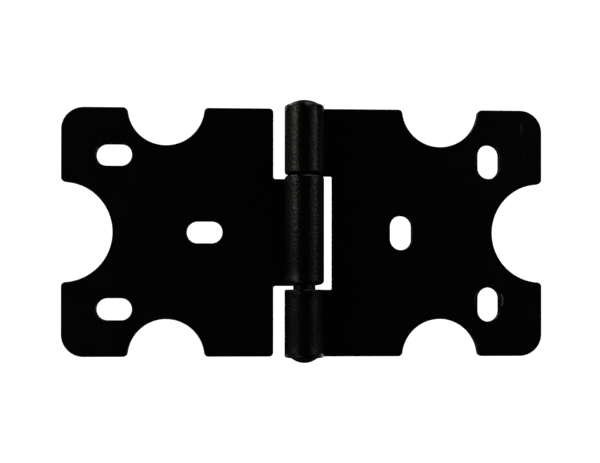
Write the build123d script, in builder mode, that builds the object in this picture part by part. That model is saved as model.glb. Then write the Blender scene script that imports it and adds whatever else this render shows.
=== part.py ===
"""
Open butt hinge for a gate or a chest: two pierced and scalloped leaves of
3 mm steel plate, rolled at their inner edges round an 8 mm pin.

Frame: the origin is the middle of the pin's axis. +Z runs along the pin,
+X towards the right-hand leaf, and -Y towards the side that the barrel stands
out of. The leaves lie flat open, their screwed faces in the plane Y = +7.
All sizes are in millimetres.
"""

from build123d import *
import os
from math import asin, cos, degrees, radians, sin

os.makedirs("parts", exist_ok=True)

# ---------------------------------------------------------------- dimensions
# plate and barrel
plate_t = 3.0  # thickness of the plate that the leaves are cut from
bore_r = 4.0  # inside radius of a rolled knuckle
knuckle_r = bore_r + plate_t  # outside radius of a knuckle
seam_gap = 0.35  # from the rolled end to the leaf's front face
edge_r = 0.45  # rounding of the cut edges, with their paint
left_rim_r = 1.2  # rounding of the knuckles' outer rims, where the punch drew
right_rim_r = 0.7  # the metal down, and of the leaves' back edges with them

# outline shared by the two leaves
leaf_h = 88.9  # height along the pin
leaf_w = 86.2  # from the pin's axis to the outer edge
corner_r = 8.0  # the two large outer corners
edge_scallop_x = 49.2  # centre of the top and bottom scallops, from the axis
edge_scallop_out = 0.3  # their centres lie this far outside the edge
edge_scallop_r = 13.7
outer_scallop_r = 17.8  # the scallop in the outer edge
outer_scallop_in = 0.3  # its centre lies this far inside the outer edge
tip_r = 1.6  # rounding where a scallop meets an edge

# knuckles
tab_h = 38.4  # height of the left plate where it runs into its knuckle
mid_top = 19.45  # ends of the roll behind the pin, measured from the middle
mid_bottom = 18.95
roll_top = 19.7  # and in front of it: the roll sits a little higher than its tab,
roll_bottom = 18.47  # as rolling left it
ease_from, ease_to = -3.5, 1.1  # the tab eases to the first pair between these X
ease_back, ease_front = 3.8, -1.0  # and on to the second pair between these Y
notch_top = 20.3  # ends of the space between the right leaf's two knuckles,
notch_bottom = 20.45  # measured from the middle

# inner edges of the plate beside the other leaf's knuckles
left_inner_x = 10.9
right_inner_x = 10.1
inner_corner_r = 1.5  # convex corners of the left plate's inner edge
tab_root_r = 0.8  # hollow corners where the left plate meets its knuckle
notch_corner_r = 0.5  # hollow corners of the right leaf's notch

# slots, obround, all centred on their nominal places
slot_w = 7.8
left_slot_len = 12.8  # horizontal
right_slot_len = 12.3  # vertical
left_slot_x = 67.6  # the two near the outer corners
left_slot_z = 27.5
left_mid_slot_x = 35.5
right_slot_x = 66.8
right_slot_z = 25.8
right_mid_slot_x = 35.0

# pin
pin_r = 3.95  # shank, which runs in the middle knuckle
grip_r = bore_r  # swelled ends, tight in the outer knuckles
grip_start = 22.0  # the swelling begins this far from the middle
head_r = 4.8
head_h = 1.95  # both heads stand this far past the knuckles
top_band = 0.75  # straight side of the upper head below its dome
bottom_band = 0.15  # and of the lower head

half_h = leaf_h / 2
strip_w = leaf_w + 5.0  # blank strip before the outline is cut
# angle past +X at which the rolled end stops, short of the leaf's front face
curl_end = degrees(asin((bore_r - seam_gap) / knuckle_r))


def rolled_section(side):
    """Section across the pin of a flat plate that runs out to one side (+1 right,
    -1 left) and rolls over the front into a knuckle, down to the cut end of the
    roll beside the plate's front face."""
    turn = side * (270 + curl_end)
    c, s = side * cos(radians(curl_end)), sin(radians(curl_end))
    Line((0, knuckle_r), (side * strip_w, knuckle_r))
    Line((side * strip_w, knuckle_r), (side * strip_w, bore_r))
    Line((side * strip_w, bore_r), (0, bore_r))
    CenterArc((0, 0), bore_r, 90, turn)
    Line((bore_r * c, bore_r * s), (knuckle_r * c, knuckle_r * s))
    CenterArc((0, 0), knuckle_r, 90, turn)


def cut_scallops(side):
    """Takes the three scallops out of the leaf on one side."""
    with Locations(
        (side * edge_scallop_x, half_h + edge_scallop_out),
        (side * edge_scallop_x, -half_h - edge_scallop_out),
    ):
        Circle(edge_scallop_r, mode=Mode.SUBTRACT)
    with Locations((side * (leaf_w - outer_scallop_in), 0)):
        Circle(outer_scallop_r, mode=Mode.SUBTRACT)


def outer_corner(v, side):
    return abs(v.X - side * leaf_w) < 0.01 and abs(abs(v.Y) - half_h) < 0.01


def scallop_tip(v, side):
    on_edge = abs(abs(v.Y) - half_h) < 0.01 and (
        abs(abs(v.X - side * edge_scallop_x) - edge_scallop_r) < 0.1
    )
    on_outer = abs(v.X - side * leaf_w) < 0.01 and abs(v.Y) < outer_scallop_r + 1
    return on_edge or on_outer


def sharp_edges(part):
    """Every edge of a leaf at which two faces meet at a real angle. The lines
    where one face runs smoothly into the next are left out."""
    sides = {}
    for f in part.faces():
        for e in f.edges():
            sides.setdefault(hash(e), (e, []))[1].append(f)
    kept = []
    for e, faces in sides.values():
        if len(faces) != 2:
            continue
        p = e.position_at(0.5)
        a, b = (f.normal_at(p) for f in faces)
        if a.get_angle(b) > 12:
            kept.append(e)
    return kept


def on_outer_face(v):
    """On a leaf's back face, or on the outside of its knuckle."""
    behind = abs(v.Y - knuckle_r) < 0.01
    round_pin = v.X**2 + v.Y**2
    return behind or abs(round_pin**0.5 - knuckle_r) < 0.01


def rim_edges(part, side):
    """The sharp edges of the outer face, with the leaf's back outline: all but
    the slots' and the one along the cut end of the roll."""
    if side < 0:
        slots = [(left_slot_x, left_slot_z), (left_slot_x, -left_slot_z)]
        slots.append((left_mid_slot_x, 0))
    else:
        slots = [(right_slot_x, right_slot_z), (right_slot_x, -right_slot_z)]
        slots.append((right_mid_slot_x, 0))
    kept = []
    for e in sharp_edges(part):
        b = e.bounding_box()
        m = b.center()
        if b.size.X < 0.01 and b.size.Y < 0.01 and abs(m.Y - knuckle_r) > 0.01:
            continue
        if any(abs(side * m.X - x) < 8 and abs(m.Z - z) < 8 for x, z in slots):
            continue
        if all(on_outer_face(e.position_at(t)) for t in (0.1, 0.5, 0.9)):
            kept.append(e)
    return kept


# -------------------------------------------------------- left leaf's envelope
# Everything that the cut blank keeps. First the outline, as deep as the plate
# and the back of the roll; then a block round the rest of the roll, whose ends
# ease from the back's height to the front's.
with BuildPart() as left_envelope:
    with BuildSketch(Plane.XZ.offset(-ease_back)) as left_outline:
        with Locations((-leaf_w, 0)):
            Rectangle(
                leaf_w - left_inner_x, leaf_h, align=(Align.MIN, Align.CENTER)
            )
        # the tab that carries the knuckle
        with Locations((-left_inner_x - 5, 0)):
            Rectangle(
                left_inner_x + 5 + ease_from, tab_h, align=(Align.MIN, Align.CENTER)
            )
        cut_scallops(-1)
        fillet(
            left_outline.vertices().filter_by(lambda v: outer_corner(v, -1)), corner_r
        )
        fillet(left_outline.vertices().filter_by(lambda v: scallop_tip(v, -1)), tip_r)
        fillet(
            left_outline.vertices().filter_by(
                lambda v: abs(v.X + left_inner_x) < 0.01
                and abs(abs(v.Y) - half_h) < 0.01
            ),
            inner_corner_r,
        )
        fillet(
            left_outline.vertices().filter_by(
                lambda v: abs(v.X + left_inner_x) < 0.01
                and abs(abs(v.Y) - tab_h / 2) < 0.01
            ),
            tab_root_r,
        )
        # the end of the tab and the back of the roll
        with BuildLine():
            past = knuckle_r + 1
            Line((ease_from, -tab_h / 2), (ease_from, tab_h / 2))
            Spline(
                (ease_from, tab_h / 2),
                (ease_to, mid_top),
                tangents=[(1, 0), (1, 0)],
            )
            Line((ease_to, mid_top), (past, mid_top))
            Line((past, mid_top), (past, -mid_bottom))
            Line((past, -mid_bottom), (ease_to, -mid_bottom))
            Spline(
                (ease_to, -mid_bottom),
                (ease_from, -tab_h / 2),
                tangents=[(-1, 0), (-1, 0)],
            )
        make_face()
        with Locations(
            (-left_slot_x, left_slot_z),
            (-left_slot_x, -left_slot_z),
            (-left_mid_slot_x, 0),
        ):
            SlotOverall(left_slot_len, slot_w, mode=Mode.SUBTRACT)
    extrude(amount=-10)
    # the front of the roll, drawn from its side
    with BuildSketch(Plane.YZ) as roll_profile:
        with BuildLine():
            near = -knuckle_r - 1
            Line((ease_back, -mid_bottom), (ease_back, mid_top))
            Spline(
                (ease_back, mid_top),
                (ease_front, roll_top),
                tangents=[(-1, 0), (-1, 0)],
            )
            Line((ease_front, roll_top), (near, roll_top))
            Line((near, roll_top), (near, -roll_bottom))
            Line((near, -roll_bottom), (ease_front, -roll_bottom))
            Spline(
                (ease_front, -roll_bottom),
                (ease_back, -mid_bottom),
                tangents=[(1, 0), (1, 0)],
            )
        make_face()
    extrude(amount=knuckle_r + 1, both=True)

# ------------------------------------------------------------------ left leaf
# One blank: the plate, and the strip that is rolled into the middle knuckle.
with BuildPart() as left_leaf:
    with BuildSketch(Plane.XY.offset(-half_h)) as left_section:
        with BuildLine():
            rolled_section(-1)
        make_face()
    extrude(amount=leaf_h)
    add(left_envelope.part, mode=Mode.INTERSECT)
    fillet(rim_edges(left_leaf.part, -1), left_rim_r)
    fillet(sharp_edges(left_leaf.part), edge_r)

# ----------------------------------------------------------------- right leaf
# One blank: the plate, notched between the strips of the two outer knuckles.
with BuildPart() as right_leaf:
    with BuildSketch(Plane.XY.offset(-half_h)) as right_section:
        with BuildLine():
            rolled_section(1)
        make_face()
    extrude(amount=leaf_h)

    with BuildSketch(Plane.XZ) as right_outline:
        with Locations((-knuckle_r - 1, 0)):
            Rectangle(
                leaf_w + knuckle_r + 1, leaf_h, align=(Align.MIN, Align.CENTER)
            )
        # the notch that the other leaf's knuckle turns in
        with Locations((-knuckle_r - 1, (notch_top - notch_bottom) / 2)):
            Rectangle(
                right_inner_x + knuckle_r + 1,
                notch_top + notch_bottom,
                align=(Align.MIN, Align.CENTER),
                mode=Mode.SUBTRACT,
            )
        cut_scallops(1)
        fillet(
            right_outline.vertices().filter_by(lambda v: outer_corner(v, 1)), corner_r
        )
        fillet(right_outline.vertices().filter_by(lambda v: scallop_tip(v, 1)), tip_r)
        fillet(
            right_outline.vertices().filter_by(
                lambda v: abs(v.X - right_inner_x) < 0.01
            ),
            notch_corner_r,
        )
        with Locations(
            (right_slot_x, right_slot_z),
            (right_slot_x, -right_slot_z),
            (right_mid_slot_x, 0),
        ):
            SlotOverall(right_slot_len, slot_w, rotation=90, mode=Mode.SUBTRACT)
    extrude(amount=20, both=True, mode=Mode.INTERSECT)
    fillet(rim_edges(right_leaf.part, 1), right_rim_r)
    fillet(sharp_edges(right_leaf.part), edge_r)

# ------------------------------------------------------------------------ pin
# A turned shape: the shank, two swelled ends, and a head formed at each end.
# The upper head is the flatter one.
with BuildPart() as hinge_pin:
    with BuildSketch(Plane.XZ) as pin_section:
        with BuildLine():
            top_z = half_h + head_h
            side_z = half_h + top_band
            low_z = -half_h - head_h
            low_side_z = -half_h - bottom_band
            dome_r = (head_r**2 + (top_z - side_z) ** 2) / (2 * (top_z - side_z))
            low_dome_r = (head_r**2 + (low_side_z - low_z) ** 2) / (
                2 * (low_side_z - low_z)
            )
            m = head_r * 0.55
            top_m = top_z - dome_r + (dome_r**2 - m**2) ** 0.5
            low_m = low_z + low_dome_r - (low_dome_r**2 - m**2) ** 0.5
            Line((0, low_z), (0, top_z))
            ThreePointArc((0, top_z), (m, top_m), (head_r, side_z))
            Line((head_r, side_z), (head_r, half_h))
            Line((head_r, half_h), (grip_r, half_h))
            Line((grip_r, half_h), (grip_r, grip_start + 0.5))
            Line((grip_r, grip_start + 0.5), (pin_r, grip_start))
            Line((pin_r, grip_start), (pin_r, -grip_start))
            Line((pin_r, -grip_start), (grip_r, -grip_start - 0.5))
            Line((grip_r, -grip_start - 0.5), (grip_r, -half_h))
            Line((grip_r, -half_h), (head_r, -half_h))
            Line((head_r, -half_h), (head_r, low_side_z))
            ThreePointArc((head_r, low_side_z), (m, low_m), (0, low_z))
        make_face()
    revolve(axis=Axis.Z)
    # soft shoulders of the two heads
    shoulders = hinge_pin.edges().filter_by(
        lambda e: e.geom_type == GeomType.CIRCLE
        and abs(e.radius - head_r) < 0.01
        and (
            abs(e.center().Z - side_z) < 0.01
            or abs(e.center().Z - low_side_z) < 0.01
        )
    )
    fillet(shoulders.sort_by(Axis.Z)[-1:], 0.5)
    fillet(
        hinge_pin.edges().filter_by(
            lambda e: e.geom_type == GeomType.CIRCLE
            and abs(e.radius - head_r) < 0.01
            and abs(e.center().Z - low_side_z) < 0.01
        ),
        0.12,
    )

left_leaf.part.label = "left_leaf"
right_leaf.part.label = "right_leaf"
hinge_pin.part.label = "hinge_pin"

export_step(left_leaf.part, "parts/left_leaf.step")
export_step(right_leaf.part, "parts/right_leaf.step")
export_step(hinge_pin.part, "parts/hinge_pin.step")
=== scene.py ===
"""Looks for the flat open butt hinge: black powder coat on two steel leaves and
their pin, a pale floor, soft lights at both sides, and the camera in front.

Everything is in metres, in the hinge's own frame: the pin along Z, the leaves
flat with their screwed faces at Y = +0.007, the barrel towards -Y.
"""
import math

import bpy
from mathutils import Matrix, Vector

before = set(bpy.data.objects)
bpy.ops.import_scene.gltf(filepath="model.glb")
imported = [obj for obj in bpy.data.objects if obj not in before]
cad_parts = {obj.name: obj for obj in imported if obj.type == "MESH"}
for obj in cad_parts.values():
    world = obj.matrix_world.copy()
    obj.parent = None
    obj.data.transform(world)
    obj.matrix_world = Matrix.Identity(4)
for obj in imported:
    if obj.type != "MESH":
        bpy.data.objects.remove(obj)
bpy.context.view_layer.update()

scene = bpy.context.scene


# ------------------------------------------------------------------ node help
class Tree:
    """A short way to write a material's nodes."""

    def __init__(self, name):
        self.material = bpy.data.materials.new(name)
        self.material.use_nodes = True
        self.tree = self.material.node_tree
        self.tree.nodes.clear()

    def node(self, kind, **values):
        n = self.tree.nodes.new(kind)
        for key, value in values.items():
            setattr(n, key, value)
        return n

    def link(self, source, target):
        self.tree.links.new(source, target)

    def put(self, socket, value):
        """Sets a socket, or links it if the value is another socket."""
        if isinstance(value, bpy.types.NodeSocket):
            self.link(value, socket)
        else:
            socket.default_value = value

    def math(self, operation, a, b=None, c=None, clamp=False):
        n = self.node("ShaderNodeMath", operation=operation, use_clamp=clamp)
        self.put(n.inputs[0], a)
        if b is not None:
            self.put(n.inputs[1], b)
        if c is not None:
            self.put(n.inputs[2], c)
        return n.outputs[0]

    def noise(self, place, scale, detail=2.0, rough=0.5, distortion=0.0):
        n = self.node("ShaderNodeTexNoise", noise_dimensions="3D")
        self.link(place, n.inputs["Vector"])
        n.inputs["Scale"].default_value = scale
        n.inputs["Detail"].default_value = detail
        n.inputs["Roughness"].default_value = rough
        n.inputs["Distortion"].default_value = distortion
        return n.outputs["Fac"]

    def remap(self, value, a, b, c, d, smooth=False):
        """The value's range a to b becomes c to d, and stays inside it."""
        n = self.node(
            "ShaderNodeMapRange",
            interpolation_type="SMOOTHSTEP" if smooth else "LINEAR",
            clamp=True,
        )
        self.link(value, n.inputs["Value"])
        for key, x in zip(("From Min", "From Max", "To Min", "To Max"), (a, b, c, d)):
            self.put(n.inputs[key], x)
        return n.outputs["Result"]

    def blend(self, share, a, b):
        n = self.node("ShaderNodeMix", data_type="RGBA", blend_type="MIX")
        self.put(n.inputs["Factor"], share)
        self.put(n.inputs["A"], a)
        self.put(n.inputs["B"], b)
        return n.outputs["Result"]

    def bump(self, height, strength, distance, normal=None):
        n = self.node("ShaderNodeBump")
        n.inputs["Strength"].default_value = strength
        n.inputs["Distance"].default_value = distance
        self.link(height, n.inputs["Height"])
        if normal is not None:
            self.link(normal, n.inputs["Normal"])
        return n.outputs["Normal"]


# ------------------------------------------------------------------ materials
# How far the knuckles' outsides lean from the straight, in degrees along the
# pin: their rolled ends flare a little, and their middles are faintly waisted.
# Each pair is a height in metres and the lean of the surface there, positive
# where it faces a little up.
LEAN = {
    "right_leaf": [
        (-0.0445, -7.5),
        (-0.0435, -7.0),
        (-0.0430, -0.5),
        (-0.0425, 5.0),
        (-0.0415, 4.8),
        (-0.0400, 2.2),
        (-0.0372, -0.4),
        (-0.0330, -0.2),
        (-0.0300, 0.3),
        (-0.0270, 1.2),
        (-0.0245, 0.4),
        (-0.0232, -2.0),
        (-0.0218, -6.0),
        (-0.0208, -8.0),
        (0.0204, 4.6),
        (0.0218, 3.4),
        (0.0235, 0.4),
        (0.0250, -0.8),
        (0.0300, 0.0),
        (0.0405, 0.3),
        (0.0416, 0.8),
        (0.0427, 4.0),
        (0.0435, 11.0),
        (0.0440, 20.0),
        (0.0445, 34.0),
    ],
    "left_leaf": [
        (-0.0180, 8.0),
        (-0.0165, 6.5),
        (-0.0150, 3.0),
        (-0.0135, 0.0),
        (-0.0115, -1.4),
        (-0.0060, -1.2),
        (-0.0020, 0.0),
        (0.0040, 0.7),
        (0.0110, 0.5),
        (0.0145, -1.0),
        (0.0163, -0.4),
        (0.0178, 1.6),
        (0.0190, 1.6),
    ],
}


# The share of that lean which the side towards +X has: the middle knuckle was
# pressed unevenly, so it flares mostly towards its own leaf.
LEAN_AT_RIGHT = {"right_leaf": 1.0, "left_leaf": 0.35}


def lean_of(t, xyz, stops, at_right):
    """How far the knuckle leans, as a length to add to the normal along the
    pin: from a curve of the height, and nothing away from the knuckles."""
    lowest, highest = stops[0][0], stops[-1][0]
    most = 36.0  # degrees at either end of the curve's scale
    share = t.remap(xyz["Z"], lowest, highest, 0.0, 1.0)
    n = t.node("ShaderNodeFloatCurve")
    t.link(share, n.inputs["Value"])
    curve = n.mapping.curves[0]
    points = [
        ((z - lowest) / (highest - lowest), 0.5 + 0.5 * lean / most)
        for z, lean in stops
    ]
    curve.points[0].location = points[0]
    curve.points[1].location = points[-1]
    for place in points[1:-1]:
        curve.points.new(*place)
    n.mapping.update()
    out = t.math("SUBTRACT", n.outputs["Value"], 0.5)
    out = t.math("MULTIPLY", out, 2.0 * math.tan(math.radians(most)))
    radius = t.math(
        "SQRT",
        t.math(
            "ADD",
            t.math("MULTIPLY", xyz["X"], xyz["X"]),
            t.math("MULTIPLY", xyz["Y"], xyz["Y"]),
        ),
    )
    here = t.remap(radius, 0.0071, 0.0074, 1.0, 0.0, smooth=True)
    front = t.remap(xyz["Y"], 0.0030, 0.0045, 1.0, 0.0, smooth=True)
    side = t.remap(xyz["X"], -0.0010, 0.0020, 1.0, at_right, smooth=True)
    out = t.math("MULTIPLY", out, side)
    return t.math("MULTIPLY", out, t.math("MULTIPLY", here, front))


def scuff_and_highlight_ring(t, xyz, centre, radius, half_width, window, where):
    """An arc on the front of a leaf, scuffed by a screw's head and carrying a painted
    highlight of the rim: centre and radius in metres, window the heights between which it
    shows, and where -1 or +1 for its left or right half."""
    x = t.math("SUBTRACT", xyz["X"], centre[0])
    z = t.math("SUBTRACT", xyz["Z"], centre[1])
    r = t.math(
        "SQRT", t.math("ADD", t.math("MULTIPLY", x, x), t.math("MULTIPLY", z, z))
    )
    off = t.math("ABSOLUTE", t.math("SUBTRACT", r, radius))
    band = t.remap(off, 0.0, half_width, 1.0, 0.0, smooth=True)
    soft = 0.3 * (window[1] - window[0])
    low = t.remap(xyz["Z"], window[0], window[0] + soft, 0.0, 1.0, smooth=True)
    high = t.remap(xyz["Z"], window[1] - soft, window[1], 1.0, 0.0, smooth=True)
    side = t.remap(t.math("MULTIPLY", x, where), 0.0, 0.001, 0.0, 1.0)
    front = t.remap(xyz["Y"], 0.0042, 0.0050, 1.0, 0.0)
    m = t.math("MULTIPLY", band, t.math("MULTIPLY", low, high))
    return t.math("MULTIPLY", m, t.math("MULTIPLY", side, front))


def stroke(t, xyz, start, end, half_width):
    """A short upright scratch on the front of a leaf, from start up to end."""
    lean = (end[0] - start[0]) / (end[1] - start[1])
    along = t.math("SUBTRACT", xyz["Z"], start[1])
    middle = t.math("MULTIPLY_ADD", along, lean, start[0])
    off = t.math("ABSOLUTE", t.math("SUBTRACT", xyz["X"], middle))
    band = t.remap(off, 0.0, half_width, 1.0, 0.0, smooth=True)
    soft = 0.25 * (end[1] - start[1])
    low = t.remap(xyz["Z"], start[1], start[1] + soft, 0.0, 1.0, smooth=True)
    high = t.remap(xyz["Z"], end[1] - soft, end[1], 1.0, 0.0, smooth=True)
    front = t.remap(xyz["Y"], 0.0042, 0.0050, 1.0, 0.0)
    m = t.math("MULTIPLY", band, t.math("MULTIPLY", low, high))
    return t.math("MULTIPLY", m, front)


def painted_highlight_patch(t, xyz, centre, radius):
    """A soft patch of painted highlight round a point."""
    total = None
    for axis, at in zip("XYZ", centre):
        d = t.math("SUBTRACT", xyz[axis], at)
        total = t.math("MULTIPLY_ADD", d, d, total if total else 0.0)
    return t.remap(t.math("SQRT", total), 0.0, radius, 1.0, 0.0, smooth=True)


def painted_highlight_ring(t, xyz, low, high):
    """A ring of painted highlight right round the pin between two heights."""
    middle = 0.5 * (low + high)
    off = t.math("ABSOLUTE", t.math("SUBTRACT", xyz["Z"], middle))
    return t.remap(off, 0.2 * (high - low), 0.5 * (high - low), 1.0, 0.0, smooth=True)


def powder_coat(name, peel=1.0, leaf=None, marks=()):
    """Black polyester powder coat, baked on steel: an orange-peel surface about a
    millimetre from dimple to dimple, with a finer grain of powder in it, a sheen that is
    a little uneven, coat drawn thin over the rounded edges, and the scuffs and painted
    highlights given in marks."""
    t = Tree(name)
    place = t.node("ShaderNodeTexCoord").outputs["Object"]
    xyz = t.node("ShaderNodeSeparateXYZ")
    t.link(place, xyz.inputs[0])
    xyz = xyz.outputs

    # the dimples of the orange peel, the powder's grain, and slow flow marks
    dimples = t.noise(place, 950.0, 1.0, 0.5)
    grain = t.noise(place, 3200.0, 2.0, 0.6)
    flow = t.noise(place, 160.0, 3.0, 0.5, 0.4)
    cloud = t.noise(place, 60.0, 4.0, 0.6)

    # edges: where a rounded normal parts from the true one
    true = t.node("ShaderNodeNewGeometry").outputs["Normal"]
    soft = t.node("ShaderNodeBevel", samples=4)
    soft.inputs["Radius"].default_value = 0.0011
    apart = t.node("ShaderNodeVectorMath", operation="DOT_PRODUCT")
    t.link(soft.outputs["Normal"], apart.inputs[0])
    t.link(true, apart.inputs[1])
    edge = t.remap(apart.outputs["Value"], 0.90, 0.99, 1.0, 0.0, smooth=True)
    worn = t.math("MULTIPLY", edge, t.remap(flow, 0.44, 0.60, 0.0, 1.0, smooth=True))

    # colour: near black, a touch greyer where the coat is thin
    thin = t.remap(cloud, 0.42, 0.66, 0.0, 1.0, smooth=True)
    speck = t.remap(grain, 0.60, 0.78, 0.0, 1.0, smooth=True)
    colour = t.blend(thin, (0.0011, 0.0011, 0.0011, 1.0), (0.0021, 0.0020, 0.0019, 1.0))
    colour = t.blend(t.math("MULTIPLY", speck, 0.5), colour, (0.010, 0.0098, 0.0094, 1.0))
    colour = t.blend(t.math("MULTIPLY", worn, 0.6), colour, (0.016, 0.0155, 0.0148, 1.0))

    # sheen: satin, broken by the grain, duller where handled
    rough = t.remap(flow, 0.3, 0.7, 0.27, 0.33)
    rough = t.math("ADD", rough, t.remap(grain, 0.3, 0.75, -0.03, 0.05))
    rough = t.math("ADD", rough, t.math("MULTIPLY", worn, 0.06))

    # scuffs and painted highlights: a brownish grey is painted in and the sheen dulled,
    # for the scratches where the coat is broken and for the highlights on rims and heads
    if marks:
        scuff_and_highlight = None
        for kind, share, *rest in marks:
            m = t.math("MULTIPLY", kind(t, xyz, *rest), share)
            scuff_and_highlight = m if scuff_and_highlight is None else t.math("MAXIMUM", scuff_and_highlight, m)
        patchy = t.remap(t.noise(place, 1400.0, 3.0, 0.7), 0.36, 0.56, 0.25, 1.0)
        scuff_and_highlight = t.math("MULTIPLY", scuff_and_highlight, patchy, clamp=True)
        colour = t.blend(scuff_and_highlight, colour, (0.50, 0.475, 0.42, 1.0))
        rough = t.math("ADD", rough, t.math("MULTIPLY", scuff_and_highlight, 0.25))

    normal = None
    if leaf:
        up = t.node("ShaderNodeVectorTransform", vector_type="NORMAL")
        up.convert_from, up.convert_to = "OBJECT", "WORLD"
        up.inputs[0].default_value = (0.0, 0.0, 1.0)
        part = t.node("ShaderNodeVectorMath", operation="SCALE")
        t.link(up.outputs[0], part.inputs[0])
        lean = lean_of(t, xyz, LEAN[leaf], LEAN_AT_RIGHT[leaf])
        t.link(lean, part.inputs["Scale"])
        whole = t.node("ShaderNodeVectorMath", operation="ADD")
        t.link(true, whole.inputs[0])
        t.link(part.outputs[0], whole.inputs[1])
        unit = t.node("ShaderNodeVectorMath", operation="NORMALIZE")
        t.link(whole.outputs[0], unit.inputs[0])
        normal = unit.outputs[0]
    normal = t.bump(dimples, 1.0, 0.00012 * peel, normal)
    normal = t.bump(grain, 0.6, 0.00003 * peel, normal)

    shader = t.node("ShaderNodeBsdfPrincipled")
    t.link(colour, shader.inputs["Base Color"])
    t.link(rough, shader.inputs["Roughness"])
    t.link(normal, shader.inputs["Normal"])
    shader.inputs["Metallic"].default_value = 0.0
    shader.inputs["IOR"].default_value = 1.5
    out = t.node("ShaderNodeOutputMaterial")
    t.link(shader.outputs["BSDF"], out.inputs["Surface"])
    return t.material


RIGHT_SCUFFS_AND_HIGHLIGHTS = [
    # where a screw's head has turned on the lower slot's rim, and less above: scuffs with
    # a painted highlight of the rim in them
    (scuff_and_highlight_ring, 0.72, (0.06590, -0.02440), 0.00600, 0.00048, (-0.0270, -0.0214), 1),
    (scuff_and_highlight_ring, 0.16, (0.06700, -0.02400), 0.00510, 0.00050, (-0.0290, -0.0192), -1),
    (scuff_and_highlight_ring, 0.06, (0.06700, 0.02600), 0.00490, 0.00050, (0.0225, 0.0305), -1),
    (scuff_and_highlight_ring, 0.04, (0.06700, 0.02600), 0.00500, 0.00050, (0.0235, 0.0290), 1),
    # a rub near the upper corner
    (stroke, 0.12, (0.07870, 0.03510), (0.07885, 0.04040), 0.00065),
    (stroke, 0.03, (0.07720, 0.03600), (0.07740, 0.03950), 0.00050),
    # the upper knuckle's rim: painted highlights on one side and in front of the head
    (painted_highlight_patch, 0.25, (-0.0043, -0.0050, 0.0443), 0.0012),
    (painted_highlight_patch, 0.45, (0.0011, -0.0066, 0.0442), 0.0019),
]
LEFT_MARKS = [
    # a nick between the upper slot and the corner
    (stroke, 0.10, (-0.07225, 0.03290), (-0.07215, 0.03370), 0.00050),
]

PIN_PAINTED_HIGHLIGHTS = [
    # the upper head: a painted highlight beside its middle
    (painted_highlight_patch, 0.75, (0.0016, -0.0042, 0.0458), 0.0014),
    # a fainter painted highlight on the lower head
    (painted_highlight_patch, 0.15, (-0.0010, -0.0036, -0.0462), 0.0016),
    # the lower head's shoulder next to the knuckle: a painted highlight, with its sheen
    # dulled
    (painted_highlight_ring, 0.13, -0.0453, -0.0443),
]

left_coat = powder_coat("black_powder_coat_left", 1.0, "left_leaf", LEFT_MARKS)
right_coat = powder_coat("black_powder_coat_right", 1.0, "right_leaf", RIGHT_SCUFFS_AND_HIGHLIGHTS)
pin_coat = powder_coat("black_pin_coat", peel=0.7, marks=PIN_PAINTED_HIGHLIGHTS)


def dress(node, material):
    """Gives a CAD node its material on every slot."""
    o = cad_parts[node]
    if not o.material_slots:
        o.data.materials.append(material)
    for s in o.material_slots:
        s.material = material
    return o


dress("left_leaf", left_coat)
dress("right_leaf", right_coat)
dress("hinge_pin", pin_coat)


# ---------------------------------------------------------------------- stage
def pale(name, strength):
    """A pale matt surface that is evenly lit from all round."""
    t = Tree(name)
    shader = t.node("ShaderNodeBsdfPrincipled")
    shader.inputs["Base Color"].default_value = (0.86, 0.86, 0.86, 1.0)
    shader.inputs["Roughness"].default_value = 0.9
    shader.inputs["Specular IOR Level"].default_value = 0.0
    shader.inputs["Emission Color"].default_value = (1.0, 1.0, 1.0, 1.0)
    shader.inputs["Emission Strength"].default_value = strength
    out = t.node("ShaderNodeOutputMaterial")
    t.link(shader.outputs["BSDF"], out.inputs["Surface"])
    return t.material


def disc(name, z, radius, sides=96):
    mesh = bpy.data.meshes.new(name)
    ring = [
        (
            radius * math.cos(2 * math.pi * i / sides),
            radius * math.sin(2 * math.pi * i / sides),
            z,
        )
        for i in range(sides)
    ]
    mesh.from_pydata(ring, [], [list(range(sides))])
    mesh.update()
    o = bpy.data.objects.new(name, mesh)
    scene.collection.objects.link(o)
    return o


# The floor lies well below the hinge. It is seen, but it throws no light on the
# coat: a soft light beneath it does that.
floor = disc("pale_floor", -0.30, 6.0)
floor.data.materials.append(pale("pale_floor_paint", 1.15))
floor.visible_glossy = False
floor.visible_diffuse = False
floor.visible_shadow = False

# a plain white studio: bright to look at, dim as a light, so that the black
# coat is shaped by the soft lights alone
world = bpy.data.worlds.new("studio")
scene.world = world
world.use_nodes = True
wt = world.node_tree
wt.nodes.clear()
seen = wt.nodes.new("ShaderNodeBackground")
seen.inputs["Color"].default_value = (1.0, 1.0, 1.0, 1.0)
seen.inputs["Strength"].default_value = 1.15
lit = wt.nodes.new("ShaderNodeBackground")
lit.inputs["Color"].default_value = (1.0, 1.0, 1.0, 1.0)
lit.inputs["Strength"].default_value = 0.004
rays = wt.nodes.new("ShaderNodeLightPath")
mix = wt.nodes.new("ShaderNodeMixShader")
wout = wt.nodes.new("ShaderNodeOutputWorld")
wt.links.new(rays.outputs["Is Camera Ray"], mix.inputs[0])
wt.links.new(lit.outputs[0], mix.inputs[1])
wt.links.new(seen.outputs[0], mix.inputs[2])
wt.links.new(mix.outputs[0], wout.inputs["Surface"])


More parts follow.
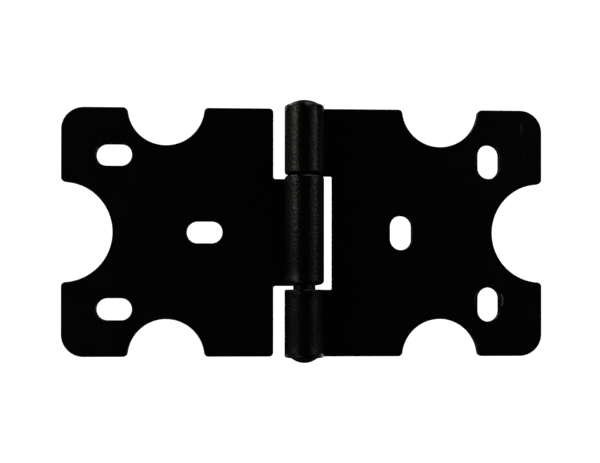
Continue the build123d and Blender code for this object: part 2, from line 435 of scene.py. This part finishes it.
def soft_light(name, azimuth, heights, distance, width, radiance, colour=(1, 1, 1)):
    """An upright soft box that faces the pin's axis. Azimuth 0 is in front of the
    hinge, at -Y, and 90 is at +X. heights are its lower and upper edges. radiance
    is its brightness as seen in a mirror."""
    a = math.radians(azimuth)
    tall = heights[1] - heights[0]
    out = Vector((math.sin(a), -math.cos(a), 0.0))
    data = bpy.data.lights.new(name, "AREA")
    data.shape = "RECTANGLE"
    data.size = width
    data.size_y = tall
    data.energy = radiance * math.pi * width * tall
    data.color = colour
    o = bpy.data.objects.new(name, data)
    o.location = out * distance + Vector((0.0, 0.0, sum(heights) / 2))
    o.rotation_mode = "QUATERNION"
    o.rotation_quaternion = (-out).to_track_quat("-Z", "Y")
    o.visible_camera = False
    scene.collection.objects.link(o)
    return o


def aimed_light(name, azimuth, rise, distance, width, tall, radiance, colour=(1, 1, 1)):
    """A soft box at an elevation of rise degrees, aimed at the hinge."""
    a, e = math.radians(azimuth), math.radians(rise)
    place = distance * Vector(
        (math.sin(a) * math.cos(e), -math.cos(a) * math.cos(e), math.sin(e))
    )
    data = bpy.data.lights.new(name, "AREA")
    data.shape = "RECTANGLE"
    data.size = width
    data.size_y = tall
    data.energy = radiance * math.pi * width * tall
    data.color = colour
    o = bpy.data.objects.new(name, data)
    o.location = place
    o.rotation_mode = "QUATERNION"
    o.rotation_quaternion = (-place).to_track_quat("-Z", "Y")
    o.visible_camera = False
    scene.collection.objects.link(o)
    return o


# in front: two upright strips that draw the lit lines along the barrel, each
# with a dimmer wing that softens the line's edge, and dimmer below
WARM = (0.97, 1.0, 0.87)
soft_light("strip_left", -59.0, (0.14, 0.58), 0.9, 0.32, 1.95, WARM)
soft_light("wing_left", -84.0, (0.11, 0.40), 0.9, 0.30, 0.30, WARM)
soft_light("wing_left_low", -80.0, (-0.25, 0.11), 0.9, 0.34, 0.07, WARM)
soft_light("strip_right", 65.0, (0.11, 0.44), 0.9, 0.25, 1.15, WARM)
soft_light("strip_right_low", 65.0, (-0.30, 0.11), 0.9, 0.24, 0.17, WARM)
soft_light("wing_right", 43.0, (0.02, 0.36), 0.9, 0.24, 0.26, WARM)
# above and behind, to both sides: the rims and the heads
aimed_light("high_left", -116.0, 54.0, 1.0, 0.40, 0.40, 4.6)
aimed_light("high_right", 103.0, 56.0, 1.0, 0.34, 0.34, 1.3)
aimed_light("top_right", 42.0, 66.0, 1.0, 0.40, 0.40, 1.9)
# behind: for the back and the edges
soft_light("back_left", -152.0, (0.25, 0.85), 1.0, 0.5, 0.6)
soft_light("back_right", 152.0, (0.25, 0.85), 1.0, 0.5, 0.4)
soft_light("side_right", 126.0, (-0.40, 0.05), 0.9, 0.30, 0.65)
soft_light("edge_right", 96.0, (-0.42, -0.04), 0.9, 0.24, 0.18)
soft_light("edge_left", -98.0, (-0.42, -0.04), 0.9, 0.24, 0.10)
# below, for the flat faces as seen from above: one in front, one behind
aimed_light("low_front_left", -47.0, -33.0, 0.85, 0.50, 0.40, 0.68)
aimed_light("low_back_right", 135.0, -20.0, 0.85, 0.55, 0.40, 0.85)
aimed_light("low_front_right", 56.0, -34.0, 0.85, 0.40, 0.40, 0.12)
aimed_light("low_back_left", -136.0, -22.0, 0.85, 0.40, 0.40, 0.45)

# ----------------------------------------------------------------- the camera
FOCAL_PX = 863.197  # focal length in pixels of a picture 600 wide
CAMERA_AT = (-0.013819, -0.304694, -0.022223)
YAW, PITCH, ROLL = math.radians(2.311), math.radians(0.203), math.radians(0.023)
DROP_PX = 60.0  # the optical axis lies this far below the picture's centre

ahead = Vector(
    (math.sin(YAW) * math.cos(PITCH), math.cos(YAW) * math.cos(PITCH), math.sin(PITCH))
)
right = Vector((math.cos(YAW), -math.sin(YAW), 0.0))
up = right.cross(ahead)
right, up = (
    math.cos(ROLL) * right + math.sin(ROLL) * up,
    math.cos(ROLL) * up - math.sin(ROLL) * right,
)
camera_data = bpy.data.cameras.new("camera")
camera_data.sensor_fit = "HORIZONTAL"
camera_data.sensor_width = 36.0
camera_data.lens = FOCAL_PX / 600.0 * 36.0
camera_data.shift_x = 0.0
camera_data.shift_y = DROP_PX / 600.0
camera_data.clip_start = 0.005
camera_data.clip_end = 50.0
camera = bpy.data.objects.new("camera", camera_data)
scene.collection.objects.link(camera)
camera.matrix_world = Matrix.Translation(CAMERA_AT) @ Matrix(
    (
        (right.x, up.x, -ahead.x),
        (right.y, up.y, -ahead.y),
        (right.z, up.z, -ahead.z),
    )
).to_4x4()
scene.camera = camera

scene.view_settings.view_transform = "Standard"
scene.view_settings.look = "None"
scene.view_settings.exposure = 0.0
scene.view_settings.gamma = 1.0
